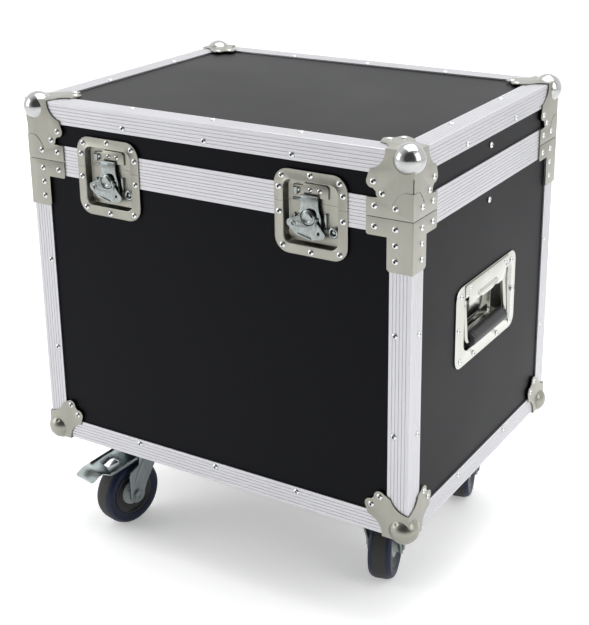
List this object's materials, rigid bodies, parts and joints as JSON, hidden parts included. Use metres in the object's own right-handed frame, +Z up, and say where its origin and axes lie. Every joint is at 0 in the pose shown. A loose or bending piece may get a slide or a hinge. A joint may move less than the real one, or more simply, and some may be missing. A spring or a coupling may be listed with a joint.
{
  "type": "flight case on castors",
  "caption": "Rolling plywood flight case with aluminium edges, ball corners, recessed butterfly latches, sprung side handles, swivel castors and a lid hinged at the back.",
  "frame": {"origin": "on the floor, under the middle of the case", "axes": "+Z up, -Y towards the latched front, +X to the right seen from the front"},
  "size_m": [0.611, 0.4924, 0.6725],
  "materials": {
    "laminate": "black phenolic laminate on plywood, satin",
    "plywood": "bare plywood",
    "aluminium": "ridged extrusion, satin",
    "plated_steel": "zinc plated, satin",
    "zinc": "bright zinc plated",
    "castor_zinc": "zinc plated, worn",
    "wheel": "blue elastic tyre on a grey centre",
    "grip": "black moulded rubber"
  },
  "bodies": {
    "base": {"base_front_panel": "laminate", "base_back_panel": "laminate", "base_left_panel": "laminate", "base_right_panel": "laminate", "base_floor_panel": "laminate", "base_edge_angles": "aluminium", "base_closing_profile": "aluminium", "castor_board": "plywood", "hinge_base_leaf": "plated_steel", "base_bracket_front_left": "plated_steel", "base_bracket_front_right": "plated_steel", "base_bracket_rear_left": "plated_steel", "base_bracket_rear_right": "plated_steel", "base_corner_front_left": "plated_steel", "base_corner_front_right": "plated_steel", "base_corner_rear_left": "plated_steel", "base_corner_rear_right": "plated_steel", "castor_plate_front_left": "castor_zinc", "castor_plate_front_right": "castor_zinc", "castor_plate_rear_left": "castor_zinc", "castor_plate_rear_right": "castor_zinc", "latch_lower_dish_left": "plated_steel", "latch_lower_dish_right": "plated_steel", "handle_dish_left": "plated_steel", "handle_dish_right": "plated_steel"},
    "lid": {"lid_top_panel": "laminate", "lid_side_panels": "laminate", "lid_edge_angles": "aluminium", "lid_closing_profile": "aluminium", "hinge_lid_leaf": "plated_steel", "lid_corner_front_left": "plated_steel", "lid_corner_front_right": "plated_steel", "lid_corner_rear_left": "plated_steel", "lid_corner_rear_right": "plated_steel", "latch_keeper_dish_left": "plated_steel", "latch_keeper_dish_right": "plated_steel"},
    "latch_drum_left": {"latch_drum_left": "zinc"},
    "latch_hook_left": {"latch_hook_left": "zinc"},
    "latch_wing_left": {"latch_wing_left": "zinc"},
    "handle_left": {"handle_bail_left": "plated_steel", "handle_grip_left": "grip"},
    "stay_lower_left": {"stay_lower_link_left": "zinc"},
    "stay_upper_left": {"stay_upper_link_left": "zinc"},
    "latch_drum_right": {"latch_drum_right": "zinc"},
    "latch_hook_right": {"latch_hook_right": "zinc"},
    "latch_wing_right": {"latch_wing_right": "zinc"},
    "handle_right": {"handle_bail_right": "plated_steel", "handle_grip_right": "grip"},
    "stay_lower_right": {"stay_lower_link_right": "zinc"},
    "stay_upper_right": {"stay_upper_link_right": "zinc"},
    "castor_front_left": {"castor_fork_front_left": "castor_zinc"},
    "wheel_front_left": {"castor_wheel_front_left": "wheel"},
    "pedal_front_left": {"castor_pedal_front_left": "castor_zinc"},
    "castor_front_right": {"castor_fork_front_right": "castor_zinc"},
    "wheel_front_right": {"castor_wheel_front_right": "wheel"},
    "castor_rear_left": {"castor_fork_rear_left": "castor_zinc"},
    "wheel_rear_left": {"castor_wheel_rear_left": "wheel"},
    "pedal_rear_left": {"castor_pedal_rear_left": "castor_zinc"},
    "castor_rear_right": {"castor_fork_rear_right": "castor_zinc"},
    "wheel_rear_right": {"castor_wheel_rear_right": "wheel"}
  },
  "joints": [
    {"name": "lid_hinge", "type": "hinge", "parent": "base", "child": "lid", "pos_m": [0, 0.2308, 0.58015], "axis": [-1, 0, 0], "range_deg": [0, 90]},
    {"name": "stay_lower_left", "type": "hinge", "parent": "base", "child": "stay_lower_left", "pos_m": [0, 0, 0.546], "axis": [1, 0, 0], "range_deg": [0, 16.98]},
    {"name": "stay_upper_left", "type": "hinge", "parent": "stay_lower_left", "child": "stay_upper_left", "pos_m": [0, 0.19864, 0.56932], "axis": [-1, 0, 0], "range_deg": [0, 118]},
    {"name": "stay_lower_right", "type": "hinge", "parent": "base", "child": "stay_lower_right", "pos_m": [0, 0, 0.546], "axis": [1, 0, 0], "range_deg": [0, 16.98]},
    {"name": "stay_upper_right", "type": "hinge", "parent": "stay_lower_right", "child": "stay_upper_right", "pos_m": [0, 0.19864, 0.56932], "axis": [-1, 0, 0], "range_deg": [0, 118]},
    {"name": "latch_turn_left", "type": "hinge", "parent": "base", "child": "latch_drum_left", "pos_m": [-0.163, -0.2265, 0.563], "axis": [0, 1, 0], "range_deg": [0, 180.5]},
    {"name": "hook_slide_left", "type": "slide", "parent": "base", "child": "latch_hook_left", "axis": [0, 0, 1], "range_m": [0, 0.008]},
    {"name": "wing_fold_left", "type": "hinge", "parent": "latch_drum_left", "child": "latch_wing_left", "pos_m": [-0.163, -0.2252, 0.563], "axis": [-0.9744, 0, 0.225], "range_deg": [0, 90], "stiffness_Nm_per_rad": 0.01, "springref_deg": -22.92},
    {"name": "latch_turn_right", "type": "hinge", "parent": "base", "child": "latch_drum_right", "pos_m": [0.153, -0.2265, 0.563], "axis": [0, 1, 0], "range_deg": [0, 180.5]},
    {"name": "hook_slide_right", "type": "slide", "parent": "base", "child": "latch_hook_right", "axis": [0, 0, 1], "range_m": [0, 0.008]},
    {"name": "wing_fold_right", "type": "hinge", "parent": "latch_drum_right", "child": "latch_wing_right", "pos_m": [0.153, -0.2252, 0.563], "axis": [-0.9744, 0, 0.225], "range_deg": [0, 90], "stiffness_Nm_per_rad": 0.01, "springref_deg": -22.92},
    {"name": "handle_lift_left", "type": "hinge", "parent": "base", "child": "handle_left", "pos_m": [-0.2905, 0, 0.424], "axis": [0, 1, 0], "range_deg": [0, 88], "stiffness_Nm_per_rad": 0.3, "springref_deg": -28.65},
    {"name": "handle_lift_right", "type": "hinge", "parent": "base", "child": "handle_right", "pos_m": [0.2905, 0, 0.424], "axis": [0, -1, 0], "range_deg": [0, 88], "stiffness_Nm_per_rad": 0.3, "springref_deg": -28.65},
    {"name": "swivel_front_left", "type": "hinge", "parent": "base", "child": "castor_front_left", "pos_m": [-0.2055, -0.1285, 0.13], "axis": [0, 0, 1], "continuous": true},
    {"name": "roll_front_left", "type": "hinge", "parent": "castor_front_left", "child": "wheel_front_left", "pos_m": [-0.21268, -0.16378, 0.05], "axis": [0.9799, -0.1994, 0], "continuous": true},
    {"name": "brake_front_left", "type": "hinge", "parent": "castor_front_left", "child": "pedal_front_left", "pos_m": [-0.20829, -0.14222, 0.1104], "axis": [0.9799, -0.1994, 0], "range_deg": [0, 9], "stiffness_Nm_per_rad": 3, "springref_deg": -4.58},
    {"name": "swivel_front_right", "type": "hinge", "parent": "base", "child": "castor_front_right", "pos_m": [0.2055, -0.1285, 0.13], "axis": [0, 0, 1], "continuous": true},
    {"name": "roll_front_right", "type": "hinge", "parent": "castor_front_right", "child": "wheel_front_right", "pos_m": [0.19588, -0.09381, 0.05], "axis": [-0.9636, -0.2672, 0], "continuous": true},
    {"name": "swivel_rear_left", "type": "hinge", "parent": "base", "child": "castor_rear_left", "pos_m": [-0.2055, 0.1285, 0.13], "axis": [0, 0, 1], "continuous": true},
    {"name": "roll_rear_left", "type": "hinge", "parent": "castor_rear_left", "child": "wheel_rear_left", "pos_m": [-0.21268, 0.16378, 0.05], "axis": [-0.9799, -0.1994, 0], "continuous": true},
    {"name": "brake_rear_left", "type": "hinge", "parent": "castor_rear_left", "child": "pedal_rear_left", "pos_m": [-0.20829, 0.14222, 0.1104], "axis": [-0.9799, -0.1994, 0], "range_deg": [0, 9], "stiffness_Nm_per_rad": 3, "springref_deg": -4.58},
    {"name": "swivel_rear_right", "type": "hinge", "parent": "base", "child": "castor_rear_right", "pos_m": [0.2055, 0.1285, 0.13], "axis": [0, 0, 1], "continuous": true},
    {"name": "roll_rear_right", "type": "hinge", "parent": "castor_rear_right", "child": "wheel_rear_right", "pos_m": [0.19588, 0.16319, 0.05], "axis": [-0.9636, -0.2672, 0], "continuous": true}
  ],
  "couplings": [
    {"joint": "stay_lower_left", "follows": "lid_hinge", "ratio": 0.18536},
    {"joint": "stay_upper_left", "follows": "lid_hinge", "ratio": 1.3056},
    {"joint": "latch_turn_left", "follows": "hook_slide_left", "rad_per_m": 392.7},
    {"joint": "stay_lower_right", "follows": "lid_hinge", "ratio": 0.18536},
    {"joint": "stay_upper_right", "follows": "lid_hinge", "ratio": 1.3056},
    {"joint": "latch_turn_right", "follows": "hook_slide_right", "rad_per_m": 392.7}
  ]
}
